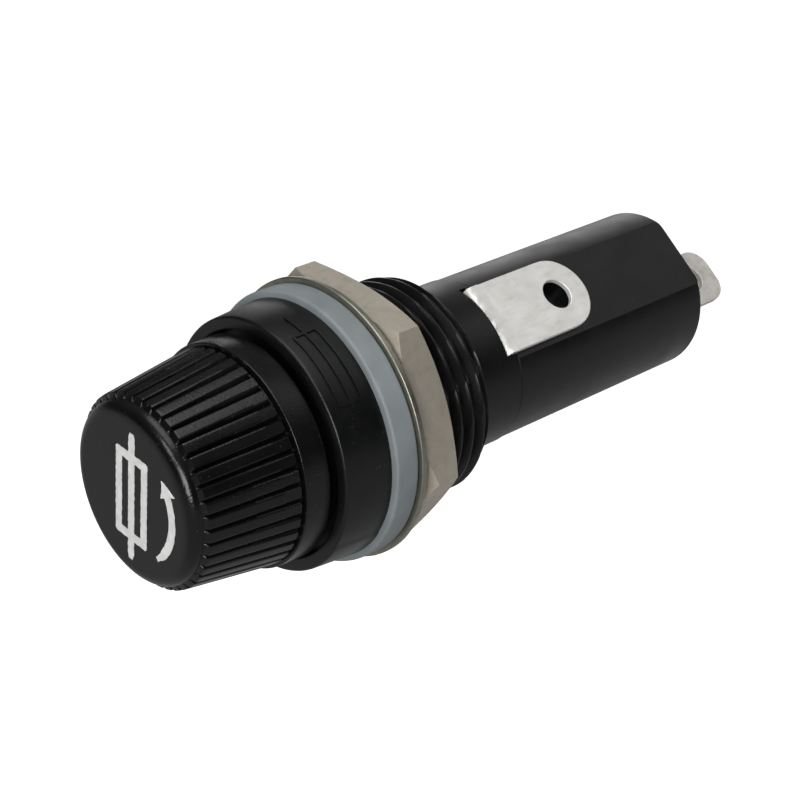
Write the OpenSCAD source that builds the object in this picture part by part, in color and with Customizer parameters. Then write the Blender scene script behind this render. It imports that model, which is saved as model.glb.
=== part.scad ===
// Panel-mount holder for a 6.3 x 32 mm cartridge fuse, with a screw-in fuse carrier.
// Millimetres. The axis of the holder is Y: the knob is toward -Y and the rear lug toward +Y.
// The origin is on the axis, in the rear seating face of the flange. Up is +Z.

/* [Housing] */
// Radius of the flange at its seating face
flange_r = 8.72; // [8.5:0.02:9]
// Radius of the flange at its front rim
rim_r = 8.45; // [8.3:0.05:8.45]
// Depth of the flange from its rim to its seating face
flange_t = 3.5; // [3.5:0.1:3.7]
// Radius over the crests of the bushing thread
thread_r = 7.5; // [7.4:0.02:7.5]
// Depth of the bushing thread
thread_depth = 0.6; // [0.4:0.05:0.65]
// Pitch of the bushing thread
thread_pitch = 1; // [0.8:0.1:1.2]
// Distance from the seating face to the end of the bushing thread
thread_len = 10; // [9.5:0.5:12]
// Radius of the barrel behind the thread
barrel_r = 5.8; // [5.7:0.05:6]
// Distance from the seating face to the rear face of the barrel
barrel_len = 33.1; // [33:0.1:35]
// Distance of the terminal flat from the axis
flat_h = 5.11; // [5.05:0.01:5.2]
// Clock angle of the terminal flat, from +X toward +Z
clock = 50.3; // [0:0.1:90]

/* [Knob] */
// Radius of the knob's front disc
disc_r = 5.95; // [5.8:0.05:6]
// Radius of the rounded edge of the front disc
disc_round = 0.8; // [0.4:0.1:1]
// Radius of the grip grooves' floor where the ribs end
grip_r = 6.85; // [6.7:0.05:6.9]
// Radius over the ribs at the front disc
rib_front_r = 6.35; // [6.1:0.05:6.5]
// Radius over the ribs where they end
rib_tip_r = 7.22; // [7.1:0.02:7.3]
// Number of grip ribs
rib_count = 42; // [36:1:48]
// Radius of the knob's collar
collar_r = 7.48; // [7.4:0.02:7.5]
// Length of the knob in front of the flange's seating face
knob_len = 13.2; // [13:0.1:13.5]

/* [Panel hardware] */
// Outer radius of the gasket
gasket_r = 9.15; // [8.8:0.05:9.4]
// Thickness of the gasket
gasket_t = 1.8; // [1.2:0.1:2]
// Outer radius of the flat washer
washer_r = 9.45; // [9.2:0.05:10]
// Thickness of the flat washer
washer_t = 0.4; // [0.3:0.1:0.6]
// Width of the hex nut across its flats
nut_af = 17; // [16.5:0.5:18]
// Thickness of the hex nut
nut_t = 3.15; // [2.5:0.05:3.2]
// Clock angle of one corner of the hex nut
nut_clock = 52.5; // [0:0.5:60]

/* [Fuse] */
// Radius of the fuse's end caps
cap_r = 3.175; // [3.1:0.005:3.2]
// Length of the fuse
fuse_len = 31.8; // [31.4:0.1:31.8]
// Length of one end cap
cap_len = 6.3; // [5.6:0.1:6.6]
// Radius of the fuse's glass tube
glass_r = 3; // [2.9:0.05:3]

/* [Terminals] */
// Thickness of the side terminal
side_t = 0.4; // [0.3:0.05:0.5]
// Width of the side terminal
side_w = 5.3; // [4.8:0.1:5.3]
// Station of the hole in the side terminal
side_hole_y = 20.2; // [19:0.1:21]
// Radius of the hole in the side terminal
side_hole_r = 1.1; // [0.8:0.05:1.2]
// Thickness of the rear lug
lug_t = 0.5; // [0.4:0.05:0.6]
// Width of the rear lug
lug_w = 4.3; // [3.8:0.1:4.3]
// Station of the rear lug's end
lug_end_y = 40.4; // [40:0.1:43]
// Radius of the hole in the rear lug
lug_hole_r = 1; // [0.8:0.05:1.1]

/* [Spring] */
// Outer radius of the contact spring
spring_r = 3.2; // [3:0.05:3.3]
// Radius of the spring wire
wire_r = 0.3; // [0.2:0.05:0.3]
// Active turns of the spring
spring_turns = 5; // [4:1:6]

/* [Hidden] */
$fn = 96;

// Clearances: running on a moving fit, seat between parts that are pressed together
running = 0.05;
seat = 0.02;
eps = 0.01;

// Stations along the axis, from the front to the rear
face_y = -knob_len;
disc_y = face_y + disc_round;
rib_end_y = -5.75;
collar_end_y = -3.87;
recess_y = -2.3;
counterbore_y = -1.2;
fuse_front_y = -9.9;
fuse_rear_y = fuse_front_y + fuse_len;
clip_base_t = 0.4;
ferrule_end_y = 4.5;
ferrule_lip_t = 0.3;
sleeve_end_y = 7.6;
sleeve_lip_t = 0.4;
flat_y = 14.3;
slot_y = 13.5;
wall_y = 31.1;
plunger_front_y = fuse_rear_y - 1.3;
plunger_base_y = fuse_rear_y + seat;
plunger_rear_y = plunger_base_y + 0.48;
nose_len = 2;
seat_y = 30.4;
seat_t = 0.4;
neck_y = recess_y - 0.03;
sleeve_front_y = counterbore_y - 0.4;
section_end_y = flat_y + 0.1;
clip_slot_y = fuse_front_y + 1.1;

// Radii inside the holder
recess_r = 7.6;
counterbore_r = 6;
neck_r = 4.58;
ferrule_r = 5;
cavity_r = 3.6;
clip_r = 3.45;
clip_bore_r = cap_r + 0.035;
sleeve_bore_r = ferrule_r + running;
sleeve_r = 5.4;
fuse_bore_r = 3.7;
plunger_r = 3.5;
guide_r = 2.3;
shoulder_r = 6.4;
ring_bore_r = thread_r + running;
section_r = barrel_r + 0.06;
sleeve_lip_r = 3.9;
glass_bore_r = 2.2;
element_r = 0.1;

// Small thicknesses and edges of the inner parts
cap_t = 0.25;
clip_flange = 0.75;
clip_flange_t = 0.25;
clip_slot_w = 0.7;
clip_slot_len = 10.8;
gasket_edge = 0.25;
nut_edge = 0.5;
barrel_edge = 0.35;

// The side terminal reaches from side_t0 to side_t0 + side_w across its flat
side_t0 = -2.35;
side_end_r = side_w / 2;
leg_h = 3.8;
foot_w = 4.2;
foot_h = 4.85;
channel_h = 2.5;
slot_in_h = 3;
slot_play = 0.1;
outside = 10;

// The rear lug reaches from lug_t0 to lug_t0 + lug_w across the axis
lug_t0 = -3.1;
lug_mid = lug_t0 + lug_w / 2;
lug_hole_y = lug_end_y - 2.5;
lug_corner = 1.25;
lug_head_t0 = -3.4;
lug_head_w = 6.4;

// A solid of revolution about the Y axis, from points of radius and station
module spun(points) {
    rotate([-90, 0, 0]) rotate_extrude() polygon(points);
}

// A plain ring about the Y axis
module ring(y0, y1, r_out, r_in) {
    spun([[r_in, y0], [r_out, y0], [r_out, y1], [r_in, y1]]);
}

// A plain rod about the Y axis
module rod(y0, y1, r) {
    translate([0, y0, 0]) rotate([-90, 0, 0]) cylinder(h = y1 - y0, r = r);
}

// Frame of the terminal flat: X points out of the flat, Y along the axis, Z across the flat
module clocked() {
    rotate([0, -clock, 0]) children();
}

// A block in the clocked frame, from its lowest to its highest corner
module block(low, high) {
    clocked() translate(low) cube(high - low);
}

// Outline of the front edge of a disc of radius r at station y, rounded with radius q
function round_edge(r, y, q) = [for (a = [90:-15:0]) [r - q + q * cos(a), y + q - q * sin(a)]];

// Outline of the external thread, one flat-topped ridge for each turn
ridges = floor((thread_len - 0.6) / thread_pitch);
function ridge(k) = let (y = 0.6 + k * thread_pitch, f = 0.36 * thread_pitch)
    [[thread_r - thread_depth, y - f + eps], [thread_r, y - 0.08 * thread_pitch],
     [thread_r, y + 0.08 * thread_pitch], [thread_r - thread_depth, y + f - eps]];
thread_outline = [for (k = [0:ridges - 1]) each ridge(k)];

module housing_body() {
    root_r = thread_r - thread_depth;
    spun(concat(
        [[recess_r, -flange_t], [rim_r - 0.2, -flange_t], [rim_r, -flange_t + 0.2],
         [flange_r, 0], [root_r, 0]],
        thread_outline,
        [[root_r, thread_len - 0.3], [root_r - 0.3, thread_len], [section_r, thread_len],
         [section_r, section_end_y], [barrel_r, section_end_y],
         [barrel_r, barrel_len - barrel_edge], [barrel_r - barrel_edge, barrel_len],
         [0, barrel_len], [0, wall_y], [fuse_bore_r, wall_y],
         [fuse_bore_r, sleeve_end_y], [sleeve_r + seat, sleeve_end_y],
         [sleeve_r + seat, counterbore_y], [counterbore_r, counterbore_y],
         [counterbore_r, recess_y], [recess_r, recess_y]]
    ));
}

// Material that the terminal's flat, its channel and both terminals' slots take out of the body
module housing_cuts() {
    side_t1 = side_t0 + side_w;
    block([flat_h, flat_y, -outside], [outside, barrel_len + 1, outside]);
    block([channel_h, sleeve_end_y - eps, side_t0 - seat],
        [leg_h + side_t + seat, slot_y + side_t + seat, side_t1 + seat]);
    block([slot_in_h, sleeve_end_y - eps, -foot_w / 2 - seat],
        [foot_h + seat, sleeve_end_y + side_t + seat, foot_w / 2 + seat]);
    block([slot_in_h, slot_y - slot_play, side_t0 - slot_play],
        [outside, slot_y + side_t + seat, side_t1 + slot_play]);
    block([flat_h, slot_y + side_t, side_t0 - slot_play],
        [outside, section_end_y, side_t1 + slot_play]);
    block([-lug_t / 2 - seat, wall_y - eps, lug_t0 - seat],
        [lug_t / 2 + seat, barrel_len + 1, lug_t0 + lug_w + seat]);
}

module housing() {
    color("#26282a") difference() {
        housing_body();
        housing_cuts();
    }
}

module contact_sleeve() {
    color("#c9a24e") spun([
        [sleeve_bore_r, sleeve_front_y], [counterbore_r - running, sleeve_front_y],
        [counterbore_r - running, counterbore_y], [sleeve_r, counterbore_y],
        [sleeve_r, sleeve_end_y], [sleeve_lip_r, sleeve_end_y],
        [sleeve_lip_r, sleeve_end_y - sleeve_lip_t],
        [sleeve_bore_r, sleeve_end_y - sleeve_lip_t]]);
}

// One bent strip: foot behind the sleeve, leg, riser through the wall, tongue on the flat
module side_terminal() {
    side_t1 = side_t0 + side_w;
    color("#c9c5bd") difference() {
        union() {
            block([leg_h, sleeve_end_y, -foot_w / 2], [foot_h, sleeve_end_y + side_t, foot_w / 2]);
            block([leg_h, sleeve_end_y, -foot_w / 2], [leg_h + side_t, 9, foot_w / 2]);
            block([leg_h, 8.6, side_t0], [leg_h + side_t, slot_y + side_t, side_t1]);
            block([leg_h, slot_y, side_t0], [flat_h + side_t, slot_y + side_t, side_t1]);
            block([flat_h, slot_y, side_t0], [flat_h + side_t, side_hole_y, side_t1]);
            side_disc(side_end_r, flat_h, flat_h + side_t);
        }
        side_disc(side_hole_r, flat_h - 1, flat_h + 1);
    }
}

// Round end and hole of the side terminal, about an axis square to its flat
module side_disc(r, h0, h1) {
    clocked() translate([h0, side_hole_y, side_t0 + side_w / 2])
        rotate([0, 90, 0]) cylinder(h = h1 - h0, r = r);
}

// T-headed lug: the head lies against the inside of the rear wall
module rear_terminal() {
    lug_t1 = lug_t0 + lug_w;
    half = lug_t / 2;
    corner_y = lug_end_y - lug_corner;
    color("#a59e94") difference() {
        union() {
            block([-half, seat_y + seat_t, lug_head_t0], [half, wall_y, lug_head_t0 + lug_head_w]);
            block([-half, seat_y + seat_t, lug_t0], [half, corner_y, lug_t1]);
            block([-half, corner_y - eps, lug_t0 + lug_corner],
                [half, lug_end_y, lug_t1 - lug_corner]);
            for (t = [lug_t0 + lug_corner, lug_t1 - lug_corner]) lug_disc(lug_corner, corner_y, t);
        }
        lug_disc(lug_hole_r, lug_hole_y, lug_mid);
    }
}

// Rounded corner or hole of the rear lug, about an axis square to the lug
module lug_disc(r, y, t) {
    deep = r == lug_hole_r ? lug_t : 0;
    clocked() translate([-lug_t / 2 - deep, y, t])
        rotate([0, 90, 0]) cylinder(h = lug_t + 2 * deep, r = r);
}

module spring_seat() {
    color("#c9a24e") union() {
        rod(seat_y, seat_y + seat_t, plunger_r);
        rod(seat_y - 1, seat_y + eps, guide_r);
    }
}

// Helix of round wire with one closed turn at each end
spring_y0 = plunger_rear_y + wire_r;
spring_y1 = seat_y - wire_r;
closed_pitch = 2 * wire_r + 0.02;
active_pitch = (spring_y1 - spring_y0 - 2 * closed_pitch) / spring_turns;
turn_steps = 14;
wire_sides = 8;
spring_steps = (spring_turns + 2) * turn_steps;
function spring_y(turn) = turn < 1 ? spring_y0 + turn * closed_pitch
    : turn > spring_turns + 1 ? spring_y1 - (spring_turns + 2 - turn) * closed_pitch
    : spring_y0 + closed_pitch + (turn - 1) * active_pitch;
function wire_point(step, side) = let (
        turn = step / turn_steps, a = 360 * turn, b = 360 * side / wire_sides,
        r = spring_r - wire_r + wire_r * cos(b))
    [r * cos(a), spring_y(turn) + wire_r * sin(b), r * sin(a)];

module contact_spring() {
    rings = spring_steps + 1;
    points = [for (i = [0:rings - 1]) for (j = [0:wire_sides - 1]) wire_point(i, j)];
    sides = [for (i = [0:rings - 2]) for (j = [0:wire_sides - 1])
        let (k = (j + 1) % wire_sides)
        [i * wire_sides + j, (i + 1) * wire_sides + j, (i + 1) * wire_sides + k, i * wire_sides + k]];
    first = [for (j = [0:wire_sides - 1]) j];
    last = [for (j = [wire_sides - 1:-1:0]) (rings - 1) * wire_sides + j];
    color("#b9bcc0") polyhedron(points = points, faces = concat(sides, [first, last]), convexity = 8);
}

module contact_plunger() {
    color("#c9a24e") spun([
        [0, plunger_base_y], [cap_r + 0.045, plunger_base_y], [cap_r + 0.045, plunger_front_y],
        [plunger_r, plunger_front_y], [plunger_r, plunger_rear_y], [guide_r, plunger_rear_y],
        [guide_r, plunger_rear_y + nose_len - 0.5], [guide_r - 0.5, plunger_rear_y + nose_len],
        [0, plunger_rear_y + nose_len]]);
}

module sealing_gasket() {
    color("#80878a") spun([
        [ring_bore_r, 0], [gasket_r - gasket_edge, 0], [gasket_r, gasket_edge],
        [gasket_r, gasket_t - gasket_edge], [gasket_r - gasket_edge, gasket_t],
        [ring_bore_r, gasket_t]]);
}

module flat_washer() {
    color("#8f8f86") ring(gasket_t, gasket_t + washer_t, washer_r, ring_bore_r);
}

// Hexagon with its corners turned down to a 30 degree chamfer on both sides
module hex_nut() {
    corner_r = nut_af / 2 / cos(30);
    y0 = gasket_t + washer_t;
    y1 = y0 + nut_t;
    color("#9a958c") difference() {
        intersection() {
            translate([0, y0, 0]) rotate([-90, 0, 0]) rotate([0, 0, -nut_clock])
                cylinder(h = nut_t, r = corner_r, $fn = 6);
            spun([[0, y0], [corner_r - 2 * nut_edge, y0], [corner_r, y0 + nut_edge],
                [corner_r, y1 - nut_edge], [corner_r - 2 * nut_edge, y1], [0, y1]]);
        }
        rod(y0 - 1, y1 + 1, ring_bore_r);
    }
}

// Star outline of the grip: each rib is a wedge with a narrow crest
valley_r = disc_r - 0.1;
pitch_a = 360 / rib_count;
crest_a = 0.12 * pitch_a;
star = [for (k = [0:rib_count - 1]) let (a = k * pitch_a) each [
    valley_r * [cos(a - pitch_a / 2), sin(a - pitch_a / 2)],
    (rib_tip_r + 0.1) * [cos(a - crest_a), sin(a - crest_a)],
    (rib_tip_r + 0.1) * [cos(a + crest_a), sin(a + crest_a)]]];

module knob_ribs() {
    intersection() {
        translate([0, disc_y, 0]) rotate([-90, 0, 0])
            linear_extrude(height = rib_end_y - disc_y) polygon(star);
        spun([[cavity_r + 1, disc_y], [rib_front_r, disc_y], [rib_tip_r, rib_end_y],
            [cavity_r + 1, rib_end_y]]);
    }
}

module knob() {
    color("#2a2c2e") union() {
        spun(concat(
            [[0, face_y]], round_edge(disc_r, face_y, disc_round),
            [[grip_r, rib_end_y], [collar_r - 0.08, rib_end_y], [collar_r, collar_end_y - 0.15],
             [collar_r - 0.15, collar_end_y], [shoulder_r, collar_end_y],
             [shoulder_r, neck_y], [neck_r, neck_y],
             [neck_r, ferrule_end_y - ferrule_lip_t - seat],
             [cavity_r, ferrule_end_y - ferrule_lip_t - seat],
             [cavity_r, fuse_front_y - clip_base_t - seat],
             [0, fuse_front_y - clip_base_t - seat]]
        ));
        knob_ribs();
    }
}

// Printed marking: the general symbol of a fuse, and an arrow for the way the knob unscrews
ink_t = 0.03;
mark_tilt = -6;
mark_w = 3.1;
mark_h = 6.2;
mark_span = 9;
mark_line = 0.6;
module cap_marking() {
    color("#e6e6e4") translate([0, face_y, 0]) rotate([90, 0, 0]) rotate(mark_tilt)
        linear_extrude(height = ink_t) {
            difference() {
                square([mark_w, mark_h], center = true);
                square([mark_w - 2 * mark_line, mark_h - 2 * mark_line], center = true);
            }
            square([mark_line, mark_span], center = true);
            unscrew_arrow(4, -50, 28);
        }
}

// Arc of radius r from angle a0 to a1, with its head past a1
module unscrew_arrow(r, a0, a1) {
    w = mark_line;
    steps = 18;
    arc = [for (k = [0:steps]) a0 + (a1 - a0) * k / steps];
    polygon(concat(
        [for (a = arc) (r + w / 2) * [cos(a), sin(a)]],
        [(r + 0.75) * [cos(a1), sin(a1)], r * [cos(a1 + 16), sin(a1 + 16)],
         (r - 0.75) * [cos(a1), sin(a1)]],
        [for (k = [steps:-1:0]) (r - w / 2) * [cos(arc[k]), sin(arc[k])]]
    ));
}

module threaded_ferrule() {
    color("#c9a24e") spun([
        [neck_r + seat, neck_y], [ferrule_r, neck_y], [ferrule_r, ferrule_end_y],
        [clip_r + seat, ferrule_end_y], [clip_r + seat, ferrule_end_y - ferrule_lip_t],
        [neck_r + seat, ferrule_end_y - ferrule_lip_t]]);
}

// Clip with four slots that make bowed fingers, and an end rolled over the ferrule's lip
module fuse_clip() {
    base_y = fuse_front_y - clip_base_t;
    color("#cfa95a") difference() {
        spun([
            [0, base_y], [clip_r, base_y], [clip_r, ferrule_end_y],
            [clip_r + clip_flange, ferrule_end_y],
            [clip_r + clip_flange, ferrule_end_y + clip_flange_t],
            [clip_bore_r, ferrule_end_y + clip_flange_t], [clip_bore_r, fuse_front_y - seat],
            [0, fuse_front_y - seat]]);
        for (a = [45:90:315]) rotate([0, a, 0])
            translate([2, clip_slot_y, -clip_slot_w / 2])
                cube([3, clip_slot_len, clip_slot_w]);
    }
}

module fuse_glass() {
    color("#dfe8e6") ring(fuse_front_y + 0.6, fuse_rear_y - 0.6, glass_r, glass_bore_r);
}

// End cap from its closed outer face at y0; along is 1 when the cap opens toward +Y
module fuse_cap(y0, along) {
    bore_r = glass_r + 0.01;
    spun([
        [0, y0], [cap_r, y0], [cap_r, y0 + along * cap_len], [bore_r, y0 + along * cap_len],
        [bore_r, y0 + along * cap_t], [0, y0 + along * cap_t]]);
}

module fuse_cap_front() {
    color("#c8c9c8") fuse_cap(fuse_front_y, 1);
}

module fuse_cap_rear() {
    color("#c8c9c8") fuse_cap(fuse_rear_y, -1);
}

module fuse_wire() {
    color("#b58b5a") rod(fuse_front_y + 0.9, fuse_rear_y - 0.9, element_r);
}

// Bead of solder between a cap and the end of the wire
module solder(y0, along) {
    spun([
        [0, y0 + along * cap_t], [1.5, y0 + along * cap_t], [1.2, y0 + along * 0.6],
        [0.4, y0 + along * 0.9], [0, y0 + along * 0.9]]);
}

module solder_front() {
    color("#b4b6b8") solder(fuse_front_y, 1);
}

module solder_rear() {
    color("#b4b6b8") solder(fuse_rear_y, -1);
}

housing();
contact_sleeve();
side_terminal();
rear_terminal();
spring_seat();
contact_spring();
contact_plunger();
sealing_gasket();
flat_washer();
hex_nut();
knob();
cap_marking();
threaded_ferrule();
fuse_clip();
fuse_glass();
fuse_cap_front();
fuse_cap_rear();
fuse_wire();
solder_front();
solder_rear();
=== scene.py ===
import math

import bmesh
import bpy
from mathutils import Matrix, Vector, noise


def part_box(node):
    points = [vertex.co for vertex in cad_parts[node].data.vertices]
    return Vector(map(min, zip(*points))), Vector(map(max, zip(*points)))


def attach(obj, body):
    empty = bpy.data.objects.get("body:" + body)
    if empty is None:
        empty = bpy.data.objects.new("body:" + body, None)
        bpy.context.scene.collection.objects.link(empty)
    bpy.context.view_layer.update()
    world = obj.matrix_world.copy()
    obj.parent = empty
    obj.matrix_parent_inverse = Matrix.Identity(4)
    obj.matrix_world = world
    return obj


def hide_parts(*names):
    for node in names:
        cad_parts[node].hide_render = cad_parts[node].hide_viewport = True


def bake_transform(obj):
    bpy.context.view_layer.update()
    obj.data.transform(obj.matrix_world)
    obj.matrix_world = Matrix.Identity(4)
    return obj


# A panel-mount cartridge fuse holder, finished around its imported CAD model. Its axis is Y, with the
# knob toward -Y. Shapes are worked out in millimetres, and install() turns them into metres.

MM = 0.001
TURN = 2 * math.pi

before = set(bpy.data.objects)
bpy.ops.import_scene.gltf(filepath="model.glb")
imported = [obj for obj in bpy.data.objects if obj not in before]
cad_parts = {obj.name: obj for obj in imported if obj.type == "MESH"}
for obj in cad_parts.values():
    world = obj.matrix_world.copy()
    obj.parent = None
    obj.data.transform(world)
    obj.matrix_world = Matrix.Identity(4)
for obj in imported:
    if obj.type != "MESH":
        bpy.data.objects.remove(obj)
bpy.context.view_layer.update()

CLOCK = math.radians(50.3)  # the barrel's flat faces this way, from +X toward +Z
FLAT_H = 5.11  # distance of the flat from the axis
THREAD_R = 7.5
THREAD_DEPTH = 0.6
THREAD_PITCH = 1.0
SCREW_PITCH = 1.25  # thread of the ferrule and the sleeve
RIBS = 42


# ---------------------------------------------------------------- sizes read from the frame

def span(node):
    """First station, last station and outer radius of a CAD node, in millimetres."""
    low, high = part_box(node)
    radius = max(high.x, -low.x, high.z, -low.z)
    return low.y / MM, high.y / MM, radius / MM


def clocked(h, y, t):
    """Point at height h out of the terminal flat, station y and t across the flat."""
    c = math.cos(CLOCK)
    s = math.sin(CLOCK)
    return Vector((h * c - t * s, y, h * s + t * c))


# ---------------------------------------------------------------- mesh helpers

def make(name, points, faces):
    """A mesh object from points in millimetres."""
    mesh = bpy.data.meshes.new(name)
    mesh.from_pydata([tuple(p) for p in points], [], faces)
    obj = bpy.data.objects.new(name, mesh)
    bpy.context.scene.collection.objects.link(obj)
    tidy(obj)
    return obj


def tidy(obj, sharp=38):
    """Joins doubled points, turns the faces outward and shades smooth up to an angle."""
    work = bmesh.new()
    work.from_mesh(obj.data)
    bmesh.ops.remove_doubles(work, verts=work.verts, dist=1e-5)
    bmesh.ops.dissolve_degenerate(work, edges=work.edges, dist=1e-5)
    bmesh.ops.recalc_face_normals(work, faces=work.faces)
    limit = math.radians(sharp)
    for face in work.faces:
        face.smooth = True
    for edge in work.edges:
        edge.smooth = len(edge.link_faces) == 2 and edge.calc_face_angle(0) < limit
    work.to_mesh(obj.data)
    work.free()


def settle(obj):
    """Applies the modifiers of an object."""
    graph = bpy.context.evaluated_depsgraph_get()
    mesh = bpy.data.meshes.new_from_object(obj.evaluated_get(graph))
    old = obj.data
    obj.modifiers.clear()
    obj.data = mesh
    bpy.data.meshes.remove(old)


def discard(obj):
    mesh = obj.data
    bpy.data.objects.remove(obj)
    bpy.data.meshes.remove(mesh)


def combine(obj, other, operation):
    """Boolean of two closed meshes; the second one is used up."""
    step = obj.modifiers.new("combine", "BOOLEAN")
    step.operation = operation
    step.solver = "EXACT"
    step.object = other
    settle(obj)
    discard(other)
    return obj


def soften(obj, width, keep, steps=2):
    """Rounds the sharp edges whose middle point passes the test keep."""
    work = bmesh.new()
    work.from_mesh(obj.data)
    edges = []
    for edge in work.edges:
        middle = (edge.verts[0].co + edge.verts[1].co) / 2
        if len(edge.link_faces) == 2 and edge.calc_face_angle(0) > 0.5 and keep(middle):
            edges.append(edge)
    bmesh.ops.bevel(work, geom=edges, offset=width, segments=steps, affect="EDGES", profile=0.5,
                    clamp_overlap=True)
    work.to_mesh(obj.data)
    work.free()
    return obj


def merge(name, objects):
    """One object out of several."""
    work = bmesh.new()
    for obj in objects:
        work.from_mesh(obj.data)
        discard(obj)
    mesh = bpy.data.meshes.new(name)
    work.to_mesh(mesh)
    work.free()
    joined = bpy.data.objects.new(name, mesh)
    bpy.context.scene.collection.objects.link(joined)
    return joined


def rounded(corners, steps=5):
    """Outline through corners (radius, station, rounding), with each rounding as an arc."""
    outline = []
    for i, corner in enumerate(corners):
        here = Vector(corner[:2])
        if len(corner) < 3:
            outline.append(tuple(here))
            continue
        back = Vector(corners[i - 1][:2]) - here
        ahead = Vector(corners[(i + 1) % len(corners)][:2]) - here
        reach = corner[2] / math.tan(back.angle(ahead) / 2)
        reach = min(reach, 0.49 * back.length, 0.49 * ahead.length)
        first = here + back.normalized() * reach
        last = here + ahead.normalized() * reach
        for k in range(steps + 1):
            s = k / steps
            outline.append(tuple(first * (1 - s) ** 2 + here * 2 * s * (1 - s) + last * s * s))
    return outline


def sampled(outline, low, high, step):
    """The outline with extra points where it runs between two stations."""
    result = []
    for i, here in enumerate(outline):
        result.append(here)
        ahead = outline[(i + 1) % len(outline)]
        inside = min(here[1], ahead[1]) >= low and max(here[1], ahead[1]) <= high
        count = math.ceil(abs(ahead[1] - here[1]) / step)
        if inside and i + 1 < len(outline):
            for k in range(1, count):
                s = k / count
                result.append((here[0] * (1 - s) + ahead[0] * s, here[1] * (1 - s) + ahead[1] * s))
    return result


def lathe(name, outline, columns=160, radius=None):
    """Solid of revolution about the Y axis. radius(r, y, angle) may change the outline by angle."""
    points = []
    for r, y in outline:
        for j in range(columns):
            a = TURN * j / columns
            bent = radius(r, y, a) if radius else r
            points.append((bent * math.cos(a), y, bent * math.sin(a)))
    rows = len(outline)
    open_ends = outline[0][0] == 0 and outline[-1][0] == 0
    faces = []
    for i in range(rows - 1 if open_ends else rows):
        below = i * columns
        above = (i + 1) % rows * columns
        for j in range(columns):
            k = (j + 1) % columns
            faces.append((below + j, below + k, above + k, above + j))
    return make(name, points, faces)


def box(name, low, high, place):
    """Box between two corners. place(a, b, c) puts a point into the part."""
    corners = [place(a, b, c) for a in (low[0], high[0]) for b in (low[1], high[1])
               for c in (low[2], high[2])]
    faces = [(0, 1, 3, 2), (4, 6, 7, 5), (0, 4, 5, 1), (2, 3, 7, 6), (0, 2, 6, 4), (1, 5, 7, 3)]
    return make(name, corners, faces)


def block(low, high):
    """Box between two corners given in the frame of the terminal flat."""
    return box("block", low, high, clocked)


def prism(name, count, points):
    """Prism with count sides: the points of its first end, then those of its other end."""
    faces = [tuple(range(count)), tuple(range(count, 2 * count))]
    faces += [(k, (k + 1) % count, count + (k + 1) % count, count + k) for k in range(count)]
    return make(name, points, faces)


def tube_faces(rows, sides):
    """Faces of a closed tube made of rows + 1 rings of points."""
    faces = []
    for i in range(rows):
        for j in range(sides):
            here = i * sides
            k = (j + 1) % sides
            faces.append((here + j, here + k, here + sides + k, here + sides + j))
    return faces + [tuple(range(sides)), tuple(rows * sides + j for j in range(sides))]


def ridge(phase, crest=0.16, root=0.24):
    """Height, from 0 to 1, of a flat-topped thread at a phase from 0 to 1."""
    off = abs((phase + 0.5) % 1 - 0.5) * 2
    flank = (off - crest) / (1 - crest - root)
    return 1 - min(max(flank, 0), 1)


def smooth(x, low, high):
    """Smooth step from 0 at low to 1 at high."""
    s = min(max((x - low) / (high - low), 0), 1)
    return s * s * (3 - 2 * s)


def wander(x, y, z, size, seed=0.0):
    """Soft noise from -1 to 1 with features of about that size."""
    return noise.noise(Vector((x / size + seed, y / size + 7.3 * seed, z / size - seed)))


def install(obj, body, slot, material, *nodes):
    """Turns the piece into metres and fixes it to its body in place of its CAD nodes."""
    obj.data.transform(Matrix.Scale(MM, 4))
    obj.data.materials.clear()
    obj.data.materials.append(material)
    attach(obj, body)
    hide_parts(*nodes)
    return obj


# ---------------------------------------------------------------- material helpers

def field(tree, size, detail=3.0, stretch=(1, 1, 1), distortion=0.0):
    """Noise over the object, with features of about size millimetres."""
    place = tree.nodes.new("ShaderNodeTexCoord")
    scale = tree.nodes.new("ShaderNodeMapping")
    scale.inputs["Scale"].default_value = [s / (size * MM) for s in stretch]
    tree.links.new(place.outputs["Object"], scale.inputs["Vector"])
    pattern = tree.nodes.new("ShaderNodeTexNoise")
    pattern.inputs["Scale"].default_value = 1.0
    pattern.inputs["Detail"].default_value = detail
    pattern.inputs["Distortion"].default_value = distortion
    tree.links.new(scale.outputs["Vector"], pattern.inputs["Vector"])
    return pattern.outputs["Fac"]


def mapped(tree, value, low, high, start=0.3, end=0.7):
    """A value brought into a new range."""
    node = tree.nodes.new("ShaderNodeMapRange")
    node.inputs["From Min"].default_value = start
    node.inputs["From Max"].default_value = end
    node.inputs["To Min"].default_value = low
    node.inputs["To Max"].default_value = high
    tree.links.new(value, node.inputs["Value"])
    return node.outputs["Result"]


def blended(tree, value, first, second):
    """Colour between two colours, or between a linked colour and a colour."""
    node = tree.nodes.new("ShaderNodeMix")
    node.data_type = "RGBA"
    tree.links.new(value, node.inputs["Factor"])
    for socket, colour in ((node.inputs["A"], first), (node.inputs["B"], second)):
        if isinstance(colour, tuple):
            socket.default_value = (*colour, 1)
        else:
            tree.links.new(colour, socket)
    return node.outputs["Result"]


def relief(tree, shader, layers):
    """Bump from several fields, each with its depth in millimetres."""
    previous = None
    for value, depth in layers:
        node = tree.nodes.new("ShaderNodeBump")
        node.inputs["Distance"].default_value = depth * MM
        node.inputs["Strength"].default_value = 1.0
        tree.links.new(value, node.inputs["Height"])
        if previous:
            tree.links.new(previous, node.inputs["Normal"])
        previous = node.outputs["Normal"]
    tree.links.new(previous, shader.inputs["Normal"])


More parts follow.
